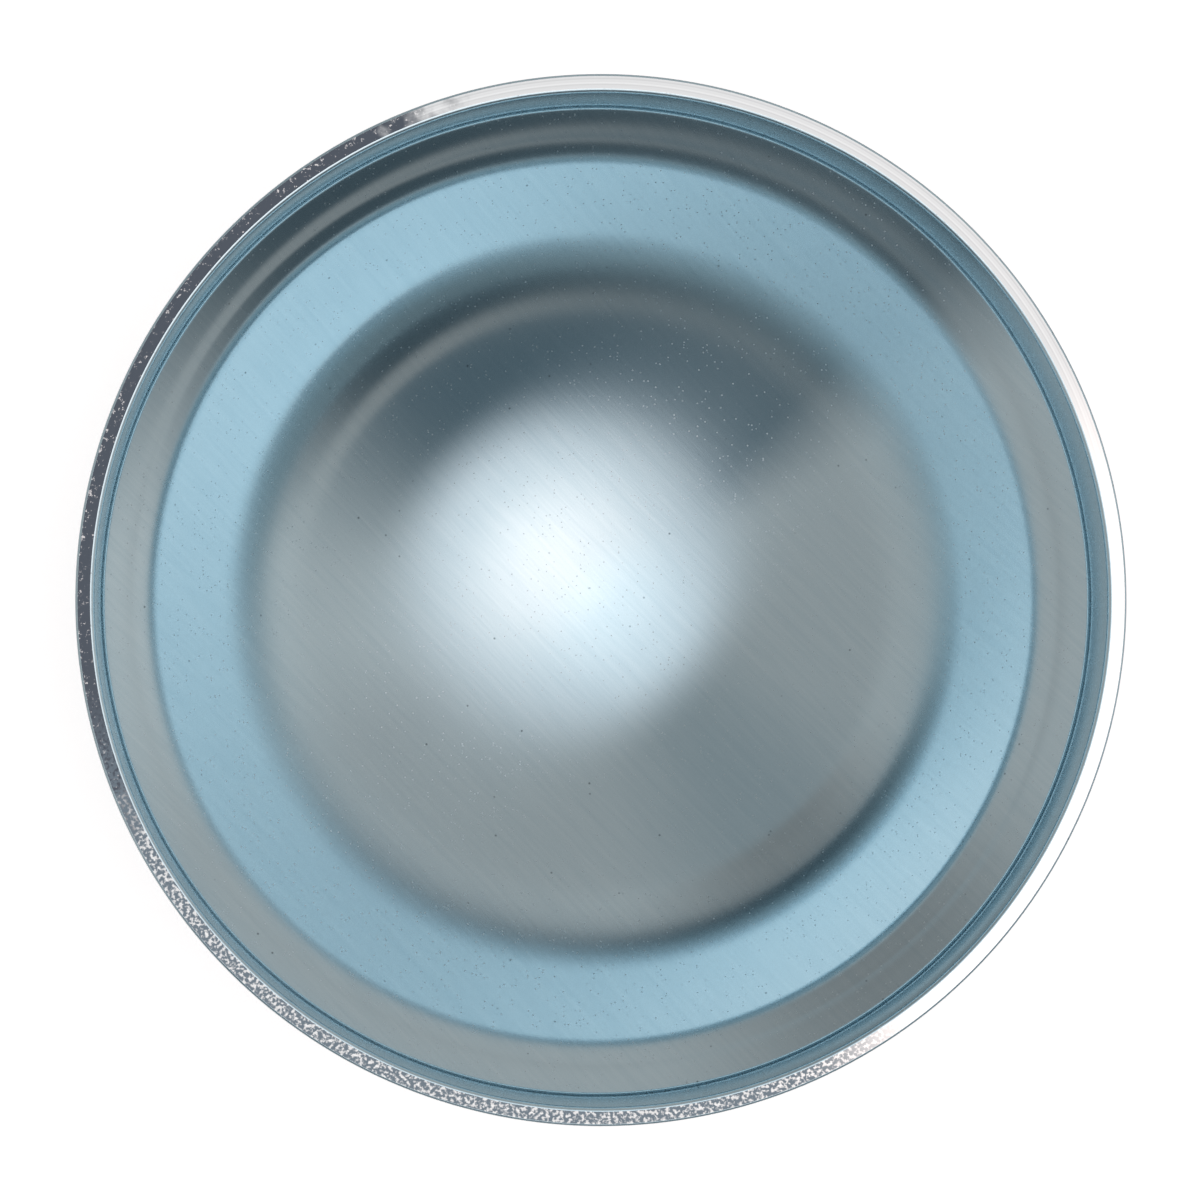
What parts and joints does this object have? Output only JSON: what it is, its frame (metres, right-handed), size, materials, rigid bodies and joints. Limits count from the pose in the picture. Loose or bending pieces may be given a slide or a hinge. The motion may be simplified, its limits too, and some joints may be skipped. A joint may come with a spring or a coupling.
{
  "type": "wheel hub dust cap",
  "caption": "Round deep-drawn steel cap with a straight press-fit skirt, a rounded shoulder and a domed crown, which closes the bore of a wheel hub over its bearing.",
  "frame": {"origin": "lowest point of the crown, on the cap's axis", "axes": "+Z along the cap's axis, out of its open mouth; X and Y are free, as the cap is round"},
  "size_m": [0.0556, 0.0554, 0.0211],
  "materials": {
    "zinc_plate": "satin zinc plate with blue passivation over drawn steel sheet"
  },
  "bodies": {
    "root": {"cap_shell": "zinc_plate"}
  },
  "joints": []
}
